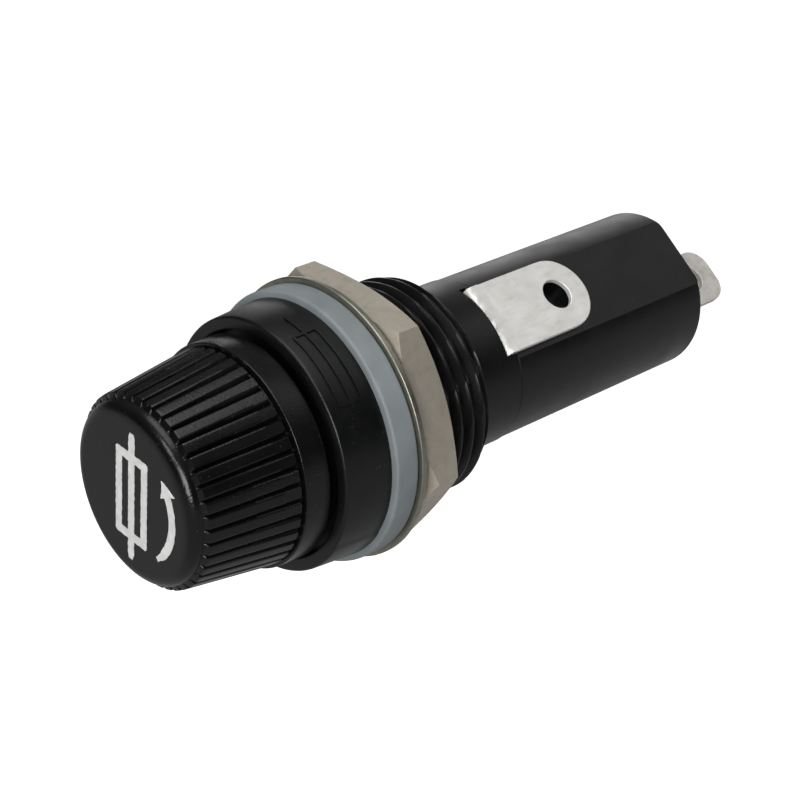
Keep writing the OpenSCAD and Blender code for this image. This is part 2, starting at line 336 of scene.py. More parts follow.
def blank(name, metallic=0.0, specular=0.5, coat=0.0):
    material = bpy.data.materials.new(name)
    material.use_nodes = True
    tree = material.node_tree
    shader = tree.nodes["Principled BSDF"]
    shader.inputs["Metallic"].default_value = metallic
    shader.inputs["Specular IOR Level"].default_value = specular
    shader.inputs["Coat Weight"].default_value = coat
    return material, tree, shader


def finish(name, colours, rough, patch, grain, depth, **gloss):
    """A solid surface: patches shift its colour and gloss, and a fine grain roughens it."""
    material, tree, shader = blank(name, **gloss)
    broad = field(tree, patch, detail=4)
    fine = field(tree, grain, detail=2)
    tint = blended(tree, mapped(tree, broad, 0, 1), *colours)
    tree.links.new(tint, shader.inputs["Base Color"])
    tree.links.new(mapped(tree, broad, *rough), shader.inputs["Roughness"])
    relief(tree, shader, [(broad, depth * 2), (fine, depth)])
    return material


# ---------------------------------------------------------------- materials

def moulded(name, colours, rough, depth, matte_y=None):
    """Black thermoset: fine mould grain, rubbed patches and pale dust specks. Surfaces in front of
    the station matte_y are matte."""
    material, tree, shader = blank(name, specular=0.38)
    broad = field(tree, 3.2, detail=5, distortion=0.6)
    fine = field(tree, 0.09, detail=2)
    specks = field(tree, 0.16, detail=1)
    tint = blended(tree, mapped(tree, broad, 0, 1), *colours)
    dust = mapped(tree, specks, 0, 0.35, 0.72, 0.78)
    tint = blended(tree, dust, tint, (0.08, 0.08, 0.078))
    gloss = mapped(tree, broad, *rough)
    layers = [(field(tree, 0.9), depth * 1.5), (fine, depth)]
    if matte_y is not None:
        place = tree.nodes.new("ShaderNodeTexCoord")
        split = tree.nodes.new("ShaderNodeSeparateXYZ")
        tree.links.new(place.outputs["Object"], split.inputs["Vector"])
        face = mapped(tree, split.outputs["Y"], 1, 0, matte_y * MM, (matte_y + 0.12) * MM)
        mix = tree.nodes.new("ShaderNodeMix")
        mix.inputs["B"].default_value = 0.5
        tree.links.new(face, mix.inputs["Factor"])
        tree.links.new(gloss, mix.inputs["A"])
        gloss = mix.outputs["Result"]
        tint = blended(tree, face, tint, (0.012, 0.012, 0.0122))
        layers.append((field(tree, 0.14, detail=3), 0.012))
    tree.links.new(tint, shader.inputs["Base Color"])
    tree.links.new(gloss, shader.inputs["Roughness"])
    relief(tree, shader, layers)
    return material


def plated(name, colours, rough, stain, depth, stretch=(1, 1, 1), metallic=1.0):
    """Dull plating: tarnished patches, fine pits and light rubbing marks."""
    material, tree, shader = blank(name, metallic=metallic)
    broad = field(tree, 2.4, detail=6, distortion=1.2)
    pits = field(tree, 0.11, detail=3)
    marks = field(tree, 0.5, detail=5, stretch=stretch)
    tint = blended(tree, mapped(tree, broad, 0, 1), *colours)
    tint = blended(tree, mapped(tree, marks, 0, 0.6, 0.5, 0.75), tint, stain)
    tree.links.new(tint, shader.inputs["Base Color"])
    tree.links.new(mapped(tree, marks, *rough), shader.inputs["Roughness"])
    relief(tree, shader, [(broad, depth * 3), (marks, depth * 1.5), (pits, depth)])
    return material


def glass():
    material, tree, shader = blank("clear_glass", specular=0.5)
    shader.inputs["Transmission Weight"].default_value = 1.0
    shader.inputs["IOR"].default_value = 1.5
    streaks = field(tree, 1.6, detail=3, stretch=(1, 0.1, 1))
    tint = blended(tree, mapped(tree, streaks, 0, 1), (0.90, 0.97, 0.95), (0.98, 1.0, 0.99))
    tree.links.new(tint, shader.inputs["Base Color"])
    tree.links.new(mapped(tree, streaks, 0.0, 0.05), shader.inputs["Roughness"])
    relief(tree, shader, [(streaks, 0.004)])
    return material


KNOB_PLASTIC = moulded("knob_moulding", ((0.0022, 0.0023, 0.0025), (0.0045, 0.0047, 0.005)),
                       (0.15, 0.27), 0.004, matte_y=-13.2)
HOUSING_PLASTIC = moulded("housing_moulding", ((0.0018, 0.0022, 0.002), (0.0038, 0.0044, 0.0041)),
                          (0.28, 0.42), 0.003)
GASKET_RUBBER = finish("gasket_rubber", ((0.19, 0.215, 0.225), (0.235, 0.26, 0.268)), (0.45, 0.62),
                       2.0, 0.12, 0.004, specular=0.45)
# Washer: its dull olive colour is darker than bare plating. Part of it is painted shade that stands in
# for the shade of the gasket and the nut, and for the dark reflections on its face.
WASHER_PLATE_AND_SHADE = plated("washer_plating", ((0.31, 0.305, 0.25), (0.39, 0.38, 0.32)), (0.3, 0.5),
                      (0.25, 0.25, 0.21), 0.003)
NUT_PLATE = plated("nut_plating", ((0.50, 0.455, 0.375), (0.60, 0.55, 0.465)), (0.42, 0.58),
                   (0.40, 0.375, 0.335), 0.005, metallic=0.7)
TIN = plated("tinned_strip", ((0.76, 0.745, 0.71), (0.88, 0.87, 0.84)), (0.38, 0.55),
             (0.64, 0.61, 0.56), 0.006, stretch=(1, 0.35, 1), metallic=0.45)
LUG_TIN = plated("lug_tin", ((0.68, 0.65, 0.60), (0.80, 0.78, 0.73)), (0.38, 0.55),
                 (0.50, 0.47, 0.42), 0.005, metallic=0.5)
BRASS = plated("brass", ((0.70, 0.50, 0.22), (0.80, 0.60, 0.30)), (0.22, 0.4),
               (0.50, 0.34, 0.15), 0.002, stretch=(1, 4, 1))
SPRING_STEEL = plated("spring_wire", ((0.52, 0.53, 0.54), (0.62, 0.63, 0.64)), (0.18, 0.3),
                      (0.4, 0.4, 0.4), 0.002)
CAP_PLATE = plated("cap_nickel", ((0.66, 0.66, 0.64), (0.76, 0.76, 0.74)), (0.15, 0.3),
                   (0.55, 0.54, 0.5), 0.002)
SOLDER = plated("solder", ((0.42, 0.43, 0.44), (0.55, 0.56, 0.57)), (0.35, 0.5),
                (0.34, 0.34, 0.35), 0.01)
COPPER = finish("fuse_element_wire", ((0.55, 0.38, 0.24), (0.66, 0.48, 0.32)), (0.25, 0.4),
                1.0, 0.05, 0.001, metallic=1.0)
INK = finish("white_ink", ((0.66, 0.66, 0.65), (0.80, 0.80, 0.79)), (0.5, 0.7), 0.5, 0.08, 0.006,
             specular=0.3)
GLASS = glass()
FLOOR = finish("pale_floor", ((0.88, 0.88, 0.88), (0.90, 0.90, 0.90)), (0.8, 0.9), 60, 3, 0.001,
               specular=0.1)


# ---------------------------------------------------------------- knob

FACE_Y, NECK_END_Y, COLLAR_R = span("knob")
DISC_R = 5.95
EDGE_WIDTH = 1.05  # the disc's rounded edge, measured inward
EDGE_DEPTH = 0.78  # and back from the face
RIB_FRONT_Y = -12.4
RIB_END_Y = -5.75
RIB_HEIGHT = 0.37
RIB_RISE = 0.9  # how far the ribbed cone widens toward the collar
COLLAR_END_Y = -3.87
PLUG_R = 6.4  # the step that stands in the housing's rim
PLUG_END_Y = -2.33
NECK_R = 4.58
CAVITY_R = 3.6
CAVITY_Y = -10.32


def rib_radius(r, y, angle):
    """Radius of the ribbed grip: broad flat ribs, parted by narrow grooves that end at the collar."""
    if not (RIB_FRONT_Y < y < RIB_END_Y - 0.01 and r > 5):
        return r
    along = (y - RIB_FRONT_Y) / (RIB_END_Y - RIB_FRONT_Y)
    floor = DISC_R + RIB_RISE * along
    off = abs((angle * RIBS / TURN) % 1 - 0.5) * 2
    top = 1 - smooth(off, 0.66 - 0.06 * along, 1.02)
    front = smooth(y, RIB_FRONT_Y, RIB_FRONT_Y + 0.2)
    rear = 1 - smooth(y, RIB_END_Y - 0.22, RIB_END_Y - 0.08)
    return DISC_R + (floor - DISC_R + RIB_HEIGHT * top * rear) * front


def make_knob():
    steps = 12
    turns = [TURN / 4 * k / steps for k in range(steps + 1)]
    edge = [(DISC_R - EDGE_WIDTH * (1 - math.sin(a)), FACE_Y + EDGE_DEPTH * (1 - math.cos(a)))
            for a in turns]
    cone_end = DISC_R + RIB_RISE
    outline = [(0, FACE_Y)] + edge + rounded([
        (DISC_R, RIB_FRONT_Y), (cone_end - 0.01, RIB_END_Y - 0.04), (cone_end + 0.01, RIB_END_Y),
        (COLLAR_R - 0.08, RIB_END_Y, 0.1), (COLLAR_R, COLLAR_END_Y, 0.16),
        (PLUG_R + 0.05, COLLAR_END_Y, 0.08), (PLUG_R, PLUG_END_Y, 0.15), (NECK_R, PLUG_END_Y, 0.05),
        (NECK_R, NECK_END_Y, 0.1), (CAVITY_R, NECK_END_Y, 0.1), (CAVITY_R, CAVITY_Y, 0.2),
        (0, CAVITY_Y)], steps=8)
    outline = sampled(outline, RIB_FRONT_Y - 0.01, RIB_END_Y - 0.03, 0.09)
    knob = lathe("knob_moulding", outline, columns=RIBS * 14, radius=rib_radius)
    return install(knob, "knob", "knob_plastic", KNOB_PLASTIC, "knob")


# ---------------------------------------------------------------- printed marking

MARK_TILT = math.radians(-6)
MARK_W = 3.1
MARK_H = 6.2
MARK_SPAN = 9.0  # length of the line through the symbol
MARK_LINE = 0.6  # width of the printed lines
ARROW_R = 4.0


def on_face(x, z, lift):
    """Point of the marking, x across and z up before it is tilted, on the knob's face."""
    c = math.cos(MARK_TILT)
    s = math.sin(MARK_TILT)
    return (x * c - z * s, FACE_Y + 0.004 - lift, x * s + z * c)


def stroke(path, width, place, lift, uneven, seed):
    """A line along a path, standing lift above the surface that place lays it on."""
    count = len(path)
    left = []
    right = []
    for i, here in enumerate(path):
        ahead = Vector(path[min(i + 1, count - 1)]) - Vector(path[max(i - 1, 0)])
        across = Vector((-ahead.y, ahead.x)).normalized()
        wide = width(i / (count - 1)) / 2
        for side, line in ((1, left), (-1, right)):
            rough = uneven * wander(here[0], here[1], 3 * side, 0.3, seed)
            line.append(Vector(here) + across * side * (wide + rough))
    rows = left + right
    points = [place(p.x, p.y, lift) for p in rows] + [place(p.x, p.y, -0.01) for p in rows]
    faces = []
    deep = 2 * count
    for i in range(count - 1):
        faces.append((i, i + 1, count + i + 1, count + i))
        faces.append((deep + i, deep + count + i, deep + count + i + 1, deep + i + 1))
        faces.append((i, deep + i, deep + i + 1, i + 1))
        faces.append((count + i, count + i + 1, deep + count + i + 1, deep + count + i))
    for i in (0, count - 1):
        faces.append((i, count + i, deep + count + i, deep + i))
    return make("stroke", points, faces)


def line_points(a, b, step=0.06):
    count = max(2, math.ceil((Vector(b) - Vector(a)).length / step))
    return [tuple(Vector(a).lerp(Vector(b), k / count)) for k in range(count + 1)]


def make_marking():
    """The general symbol of a fuse, and a curved arrow for the way the knob unscrews."""
    x = (MARK_W - MARK_LINE) / 2
    z = (MARK_H - MARK_LINE) / 2
    half = MARK_LINE / 2
    end = MARK_SPAN / 2

    def even(s):
        return MARK_LINE * min(1, 0.6 + 9 * min(s, 1 - s))

    def tapered(s):
        return MARK_LINE * (0.55 + 0.5 * smooth(s, 0, 0.25))

    def head(s):
        return 1.45 * (1 - s) + 0.04

    def arc(a0, a1, count):
        steps = [math.radians(a0 + (a1 - a0) * k / count) for k in range(count + 1)]
        return [(ARROW_R * math.cos(a), ARROW_R * math.sin(a)) for a in steps]

    lines = [
        (line_points((-x, -z - half), (-x, z + half)), even, 0.026),
        (line_points((x, -z - half), (x, z + half)), even, 0.026),
        (line_points((-x - half, z), (x + half, z)), even, 0.028),
        (line_points((-x - half, -z), (x + half, -z)), even, 0.028),
        (line_points((0, -end), (0, end)), even, 0.03),
        (arc(-49, 28, 40), tapered, 0.026),
        (arc(28, 43.5, 12), head, 0.028)]
    strokes = [stroke(path, width, on_face, lift, 0.05, seed)
               for seed, (path, width, lift) in enumerate(lines)]
    return install(merge("printed_marking", strokes), "knob", "ink", INK, "cap_marking")


# ---------------------------------------------------------------- housing

RIM_Y, BARREL_END_Y, FLANGE_R = span("housing")
THREAD_END_Y = 10.0
SECTION_R = 5.86  # the round length between the thread and the barrel
BARREL_R = 5.8
FLAT_Y = 14.3  # where the barrel and its flat begin
WALL_Y = 31.1  # inner side of the rear wall
FUSE_BORE_R = 3.7
SLEEVE_BORE_R = 5.42
SLEEVE_BORE_Y = 7.6
RECESS_R = 6.0
RECESS_Y = -1.2
MOUTH_R = 7.6
MOUTH_Y = -2.3
SLOT_Y = 13.5  # slot that the side terminal comes out of
SIDE_T = (-2.35, 2.95)  # side terminal's edges across the flat
HOLE_Y = 20.2  # station of the side terminal's hole
SIDE_HOLE_R = 1.1
LUG_T = (-3.1, 1.2)  # rear terminal's edges across the flat
PARTING = math.radians(329)
SYMBOL_ANGLE = math.radians(54)
SYMBOL_HALF = 2.7  # half the length of the moulded symbol's frame
SYMBOL_Y = (-2.6, -0.95)


def thread_radius(r, y, angle):
    """Radius of the housing: mould parting lines on the flange, and the bushing's helical thread."""
    if r > MOUTH_R + 0.4:
        return r - 0.05 if (angle - PARTING) % TURN < TURN / 2 else r
    if not (0.1 < y < THREAD_END_Y - 0.05 and r > 6.5):
        return r
    fade = smooth(y, 0.15, 0.8)
    height = THREAD_DEPTH * ridge(y / THREAD_PITCH + angle / TURN - 0.12)
    cut = THREAD_R - 0.9 * max(0, y - (THREAD_END_Y - 0.55))
    return min(THREAD_R - THREAD_DEPTH + height * fade, cut)


def on_flange(u, v, lift):
    """Point on the flange's cone, u along its circumference and v along the axis."""
    r = FLANGE_R + 0.082 * v + lift
    a = SYMBOL_ANGLE - u / FLANGE_R
    return (r * math.cos(a), v, r * math.sin(a))


def flange_symbol():
    """Raised outline of a fuse symbol, moulded on the flange."""
    def thin(s):
        return 0.17

    half = SYMBOL_HALF
    front, rear = SYMBOL_Y
    lines = [
        line_points((-half, front), (half, front)), line_points((-half, rear), (half, rear)),
        line_points((-half, front), (-half, rear)), line_points((half, front), (half, rear)),
        line_points((-4.6, -1.78), (4.6, -1.78))]
    return [stroke(path, thin, on_flange, 0.06, 0.03, seed) for seed, path in enumerate(lines)]


def wire_pocket():
    """A pin that sinks a shallow pocket under the side terminal's hole."""
    middle = (SIDE_T[0] + SIDE_T[1]) / 2
    radius = SIDE_HOLE_R + 0.02
    count = 48
    turns = [TURN * k / count for k in range(count)]
    points = [clocked(h, HOLE_Y + radius * math.cos(a), middle + radius * math.sin(a))
              for h in (4.2, 6.5) for a in turns]
    return prism("wire_pocket", count, points)


def make_housing():
    root = THREAD_R - THREAD_DEPTH
    outline = rounded([
        (MOUTH_R, RIM_Y, 0.1), (8.45, RIM_Y, 0.22), (FLANGE_R - 0.005, -0.01, 0.08), (root, 0),
        (root, THREAD_END_Y - 0.06), (6.5, THREAD_END_Y, 0.1), (SECTION_R, THREAD_END_Y, 0.12),
        (SECTION_R, FLAT_Y - 0.04), (BARREL_R - 0.1, FLAT_Y + 0.02), (BARREL_R, FLAT_Y + 0.1),
        (BARREL_R, BARREL_END_Y, 0.35), (0, BARREL_END_Y)])
    bore = rounded([
        (0, WALL_Y), (FUSE_BORE_R, WALL_Y, 0.15), (FUSE_BORE_R, SLEEVE_BORE_Y, 0.05),
        (SLEEVE_BORE_R, SLEEVE_BORE_Y, 0.05), (SLEEVE_BORE_R, RECESS_Y, 0.05),
        (RECESS_R, RECESS_Y, 0.05), (RECESS_R, MOUTH_Y, 0.1), (MOUTH_R, MOUTH_Y, 0.1)])
    outline = sampled(outline, -0.01, THREAD_END_Y - 0.05, 0.0625)
    shell = lathe("housing_moulding", outline + bore, columns=192, radius=thread_radius)
    gap = 0.03
    rough = 0.12  # how far the slot's ragged mouth stands back from the strip
    slot_end = SLOT_Y + 0.42
    cuts = [
        # the flat
        ((FLAT_H, FLAT_Y, -8), (10, 40, 8)),
        # side terminal: channel of its leg, seat of its foot, its slot, and the notch up to the flat
        ((2.5, 7.5, SIDE_T[0] - gap), (4.25, slot_end, SIDE_T[1] + gap)),
        ((3.0, 7.4, -2.13), (4.9, 8.05, 2.13)),
        ((3.0, SLOT_Y - rough, SIDE_T[0] - rough), (8, slot_end, SIDE_T[1] + 0.3)),
        ((FLAT_H + 0.002, SLOT_Y + 0.3, SIDE_T[0] - rough), (8, FLAT_Y + 0.2, SIDE_T[1] + rough)),
        # slot of the rear terminal
        ((-0.28, WALL_Y - 0.6, LUG_T[0] - gap), (0.28, 35, LUG_T[1] + gap))]
    for low, high in cuts:
        combine(shell, block(low, high), "DIFFERENCE")
    combine(shell, wire_pocket(), "DIFFERENCE")

    def outside(p):
        return p.y > 13.2 and math.hypot(p.x, p.z) > 4.9

    soften(shell, 0.05, outside)
    tidy(shell, sharp=26)
    shell = merge("housing_moulding", [shell] + flange_symbol())
    return install(shell, "housing", "housing_plastic", HOUSING_PLASTIC, "housing")


# ---------------------------------------------------------------- panel hardware

HARDWARE_BORE_R = 7.55  # bore of the gasket, the washer and the nut


def make_gasket():
    y0, y1, r = span("sealing_gasket")
    bore = HARDWARE_BORE_R
    outline = rounded([(bore, y0, 0.06), (r, y0, 0.24), (r, y1, 0.24), (bore, y1, 0.06)], steps=6)

    def pressed(radius, y, angle):
        x = radius * math.cos(angle)
        z = radius * math.sin(angle)
        return radius - (0.018 * (1 + wander(x, y * 2, z, 2.2, 2.0)) if radius > 8.5 else 0)

    gasket = lathe("gasket_ring", outline, columns=192, radius=pressed)
    return install(gasket, "gasket", "gasket_rubber", GASKET_RUBBER, "sealing_gasket")


def make_washer():
    y0, y1, r = span("flat_washer")
    bore = HARDWARE_BORE_R
    outline = rounded([(bore, y0, 0.06), (r, y0, 0.1), (r, y1, 0.06), (bore, y1, 0.03)], steps=4)
    washer = lathe("washer_ring", outline, columns=192)
    return install(washer, "washer", "washer_plating", WASHER_PLATE_AND_SHADE, "flat_washer")


def bore_tool(name, y0, y1, crest, depth, pitch):
    """A rod with an outward thread, to cut a threaded bore whose crests are at radius crest."""
    flare = 0.35
    core = crest + 0.002
    outline = sampled([(0, y0), (crest + flare, y0), (core, y0 + flare), (core, y1 - flare),
                       (crest + flare, y1), (0, y1)], y0, y1, pitch / 14)

    def threaded(r, y, angle):
        if r < 1:
            return r
        return max(r, core + depth * ridge(y / pitch + angle / TURN))

    return lathe(name, outline, columns=144, radius=threaded)


def make_nut():
    y0, y1, _ = span("hex_nut")
    apothem = 8.5
    corner = apothem / math.cos(math.radians(30))
    clock = math.radians(52.5)  # direction of one corner, from +X toward +Z
    count = 6
    ring = [(corner * math.cos(clock + TURN * k / count), corner * math.sin(clock + TURN * k / count))
            for k in range(count)]
    nut = prism("hexagon_nut", count, [(x, y, z) for y in (y0, y1) for x, z in ring])
    face_r = apothem - 0.25
    outer_r = corner + 0.1
    bevel = 0.5 * (outer_r - face_r)
    turned = lathe("turned", [
        (0, y0 - 0.001), (face_r, y0 - 0.001), (outer_r, y0 + bevel), (outer_r, y1 - bevel),
        (face_r, y1 + 0.001), (0, y1 + 0.001)], columns=192)
    combine(nut, turned, "INTERSECT")
    tap = bore_tool("tap", y0 - 0.4, y1 + 0.4, HARDWARE_BORE_R, 0.42, THREAD_PITCH)
    combine(nut, tap, "DIFFERENCE")

    def outside(p):
        return math.hypot(p.x, p.z) > 8.1

    soften(nut, 0.17, outside, steps=3)
    tidy(nut, sharp=45)
    return install(nut, "nut", "nut_plating", NUT_PLATE, "hex_nut")


# ---------------------------------------------------------------- terminals

def outline_hit(origin, angle, corners):
    """Where a ray from a point inside a convex outline leaves it."""
    direction = Vector((math.cos(angle), math.sin(angle)))
    best = None
    for i, a in enumerate(corners):
        b = corners[(i + 1) % len(corners)]
        edge = Vector(b) - Vector(a)
        cross = direction.x * edge.y - direction.y * edge.x
        if abs(cross) < 1e-9:
            continue
        offset = Vector(a) - Vector(origin)
        far = (offset.x * edge.y - offset.y * edge.x) / cross
        part = (offset.x * direction.y - offset.y * direction.x) / cross
        if far > 0 and -1e-6 <= part <= 1 + 1e-6 and (best is None or far < best):
            best = far
    return Vector(origin) + direction * best


def holed_plate(name, corners, hole, hole_r, thickness, place, rings=6):
    """A plate with a convex outline and a round hole. place(u, v, w) puts a point into the part."""
    angles = set(TURN * k / 72 for k in range(72))
    for u, v in corners:
        angles.add(math.atan2(v - hole[1], u - hole[0]) % TURN)
    angles = sorted(angles)
    angles = [a for i, a in enumerate(angles) if i == 0 or a - angles[i - 1] > 1e-4]
    count = len(angles)
    flat = []
    for ring in range(rings + 1):
        share = (ring / rings) ** 1.4
        for a in angles:
            inner = Vector(hole) + Vector((math.cos(a), math.sin(a))) * hole_r
            flat.append(inner.lerp(outline_hit(hole, a, corners), share))
    half = thickness / 2
    points = [place(p.x, p.y, half) for p in flat] + [place(p.x, p.y, -half) for p in flat]
    total = len(flat)
    faces = []
    for ring in range(rings):
        for j in range(count):
            k = (j + 1) % count
            a, b = ring * count + j, ring * count + k
            c, d = a + count, b + count
            faces.append((a, b, d, c))
            faces.append((total + a, total + c, total + d, total + b))
    for ring in (0, rings):
        for j in range(count):
            k = (j + 1) % count
            a, b = ring * count + j, ring * count + k
            faces.append((a, b, total + b, total + a))
    return make(name, points, faces)


def strip(name, path, thickness, low, high, columns=14, ragged=None):
    """A bent strip. path holds (height, station) points of its middle line, low and high its edges."""
    count = len(path)
    points = []
    for side in (1, -1):
        for i, here in enumerate(path):
            ahead = Vector(path[min(i + 1, count - 1)]) - Vector(path[max(i - 1, 0)])
            normal = Vector((-ahead.y, ahead.x)).normalized() * side * thickness / 2
            for j in range(columns + 1):
                t = low + (high - low) * j / columns
                push = ragged(i / (count - 1), t) if ragged else Vector((0, 0))
                spot = Vector(here) + normal + push
                points.append(clocked(spot.x, spot.y, t))
    wide = columns + 1
    total = count * wide
    faces = []
    for i in range(count - 1):
        for j in range(columns):
            a, b = i * wide + j, i * wide + j + 1
            faces.append((a, b, b + wide, a + wide))
            faces.append((total + a, total + a + wide, total + b + wide, total + b))
        for j in (0, columns):
            a = i * wide + j
            faces.append((a, a + wide, total + a + wide, total + a))
    for i in (0, count - 1):
        for j in range(columns):
            a = i * wide + j
            faces.append((a, a + 1, total + a + 1, total + a))
    return make(name, points, faces)


def arc_points(centre, r, a0, a1, count):
    """Points of an arc, with angles in degrees."""
    steps = [math.radians(a0 + (a1 - a0) * k / count) for k in range(count + 1)]
    return [(centre[0] + r * math.cos(a), centre[1] + r * math.sin(a)) for a in steps]


def make_side_terminal():
    """Tinned strip: foot behind the sleeve, leg, rough bend through the wall, and holed tongue."""
    thick = 0.4
    middle = (SIDE_T[0] + SIDE_T[1]) / 2
    half = (SIDE_T[1] - SIDE_T[0]) / 2
    level = FLAT_H + thick / 2
    front = 14.35
    end = arc_points((HOLE_Y, middle), half, -90, 90, 24)
    corners = [(front, middle - half)] + end + [(front, middle + half)]

    def lie(u, v, w):
        dent = 0.05 * math.exp(-((u - 15.0) / 0.5) ** 2)
        wave = 0.012 * wander(u, v, 0, 1.4, 3.0)
        return clocked(level + w - dent * smooth(v, -2.6, -1.2) + wave, u, v)

    tongue = holed_plate("tongue", corners, (HOLE_Y, middle), SIDE_HOLE_R, thick, lie, rings=10)
    soften(tongue, 0.06, lambda p: p.y > front + 0.05)
    bend_y = SLOT_Y + thick / 2
    leg_h = 4.0
    foot_y = 7.8
    path = rounded([(level, front + 0.1), (level + 0.02, bend_y, 0.28), (leg_h, bend_y, 0.25),
                    (leg_h, foot_y, 0.22), (leg_h + 0.85, foot_y)], steps=6)
    path = sampled_path(path, 0.35)

    def rough(share, t):
        near = math.exp(-((share - 0.09) / 0.05) ** 2)
        out = 0.09 * wander(t, share * 8, 0, 0.45, 5.0)
        along = 0.09 * wander(t, 1, share * 9, 0.4, 9.0)
        return Vector((out, along)) * near

    bend = strip("bend", path, thick, SIDE_T[0], SIDE_T[1], columns=40, ragged=rough)
    piece = merge("side_contact_strip", [tongue, bend])
    return install(piece, "housing", "tinned_terminal", TIN, "side_terminal")


def sampled_path(path, step):
    """The path with extra points, so that no step is longer than step."""
    result = [path[0]]
    for a, b in zip(path, path[1:]):
        count = max(1, math.ceil((Vector(b) - Vector(a)).length / step))
        result += [tuple(Vector(a).lerp(Vector(b), k / count)) for k in range(1, count + 1)]
    return result


def make_rear_terminal():
    """Flat lug with a T head behind the rear wall."""
    thick = 0.5
    y1 = span("rear_terminal")[1]
    hole_y = y1 - 2.5
    t0, t1 = LUG_T
    middle = (t0 + t1) / 2
    bend = 1.5
    corners = [(WALL_Y, t0)] + arc_points((y1 - bend, t0 + bend), bend, -90, 0, 8)
    corners += arc_points((y1 - bend, t1 - bend), bend, 0, 90, 8) + [(WALL_Y, t1)]

    def lie(u, v, w):
        return clocked(w + 0.01 * wander(u, v, 0, 2, 1.0), u, v)

    lug = holed_plate("lug", corners, (hole_y, middle), 1.0, thick, lie, rings=12)
    soften(lug, 0.06, lambda p: True)
    head = block((-thick / 2, WALL_Y - 0.3, -3.4), (thick / 2, WALL_Y, 3.0))
    soften(head, 0.05, lambda p: True)
    piece = merge("rear_lug", [lug, head])
    return install(piece, "housing", "lug_plating", LUG_TIN, "rear_terminal")


# ---------------------------------------------------------------- contacts inside

def make_sleeve():
    y0, y1, r = span("contact_sleeve")
    bore = 5.05
    wall = SLEEVE_BORE_R - 0.02
    seat = 3.9
    outline = rounded([(bore, y0, 0.08), (r, y0, 0.08), (r, RECESS_Y, 0.05), (wall, RECESS_Y),
                       (wall, y1, 0.1), (seat, y1, 0.08), (seat, y1 - 0.4, 0.08), (bore, y1 - 0.4)])
    outline = sampled(outline, y0 + 0.05, y1 - 0.3, 0.1)

    def threaded(radius, y, angle):
        if abs(radius - bore) > 0.05 or not (0.45 < y < y1 - 0.45):
            return radius
        return bore + 0.24 * ridge(y / SCREW_PITCH + angle / TURN) * smooth(y, 0.45, 0.9)

    sleeve = lathe("threaded_sleeve", outline, columns=144, radius=threaded)
    return install(sleeve, "housing", "brass", BRASS, "contact_sleeve")


def make_ferrule():
    y0, y1, r = span("threaded_ferrule")
    bore = NECK_R + 0.02
    lip = 3.47
    lip_y = y1 - 0.3
    outline = rounded([(bore, y0), (r, y0, 0.05), (r, y1, 0.12), (lip, y1, 0.06), (lip, lip_y, 0.06),
                       (bore, lip_y)])
    outline = sampled(outline, y0 + 0.02, y1 - 0.05, 0.09)

    def threaded(radius, y, angle):
        if radius < r - 0.05 or not (0.45 < y < y1 - 0.2):
            return radius
        return r - 0.26 * (1 - ridge(y / SCREW_PITCH + angle / TURN)) * smooth(y, 0.45, 0.9)

    ferrule = lathe("screw_ferrule", outline, columns=144, radius=threaded)
    return install(ferrule, "knob", "brass", BRASS, "threaded_ferrule")


def make_clip():
    """Cup with four slots. The fingers between them grip the fuse's front cap."""
    y0, y1, r = span("fuse_clip")
    tube = 3.45
    bore = 3.21
    rim_y = y1 - 0.25
    floor = y0 + 0.38
    outline = rounded([(0, y0), (tube, y0, 0.2), (tube, rim_y, 0.05), (r, rim_y, 0.1),
                       (r, y1, 0.1), (bore, y1, 0.15), (bore, floor, 0.1), (0, floor)])
    clip = lathe("spring_clip", outline, columns=96)
    slots = 4
    for k in range(slots):
        slot = box("slot", (2, y0 + 1.5, -0.35), (5, y0 + 12.3, 0.35), lambda x, y, z: (x, y, z))
        slot.data.transform(Matrix.Rotation(TURN * (k + 0.5) / slots, 4, "Y"))
        combine(clip, slot, "DIFFERENCE")
    tidy(clip)
    return install(clip, "knob", "brass", BRASS, "fuse_clip")


def make_plunger():
    """Cup that takes the fuse's rear cap, with a stem that guides the spring."""
    y0, y1, r = span("contact_plunger")
    base = y1 - 2
    floor = base - 0.48
    cup_r = 3.22
    stem_r = 2.3
    outline = rounded([(0, floor), (cup_r, floor, 0.1), (cup_r, y0, 0.08), (r, y0, 0.08),
                       (r, base, 0.15), (stem_r, base, 0.1), (stem_r, y1 - 0.1, 0.5), (0, y1)])
    plunger = lathe("contact_cup", outline, columns=96)
    return install(plunger, "plunger", "brass", BRASS, "contact_plunger")


def make_spring():
    """Compression spring with closed ends."""
    y0, y1, r = span("contact_spring")
    wire = 0.29
    turns = 7
    closed = 2 * wire + 0.05
    pitch = (y1 - y0 - 2 * wire - 2 * closed) / (turns - 2)
    steps = 36
    sides = 10
    points = []
    for i in range(turns * steps + 1):
        turn = i / steps
        rise = closed * min(turn, 1) + pitch * min(max(turn - 1, 0), turns - 2)
        rise += closed * max(turn - turns + 1, 0)
        a = TURN * turn
        for j in range(sides):
            b = TURN * j / sides
            radius = r - wire - 0.01 + wire * math.cos(b)
            y = y0 + wire + rise + wire * math.sin(b)
            points.append((radius * math.cos(a), y, radius * math.sin(a)))
    spring = make("coil_spring", points, tube_faces(turns * steps, sides))
    spring.data.transform(Matrix.Scale(MM, 4))
    spring.data.materials.append(SPRING_STEEL)
    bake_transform(spring)
    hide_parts("contact_spring")
    return spring


def make_spring_seat():
    y0, y1, r = span("spring_seat")
    disc_y = y1 - 0.4
    outline = rounded([(0, y0), (2.3, y0, 0.3), (2.3, disc_y, 0.1), (r, disc_y, 0.06), (r, y1, 0.06),
                       (0, y1)])
    seat = lathe("seat_disc", outline, columns=96)
    return install(seat, "housing", "brass", BRASS, "spring_seat")


# ---------------------------------------------------------------- fuse

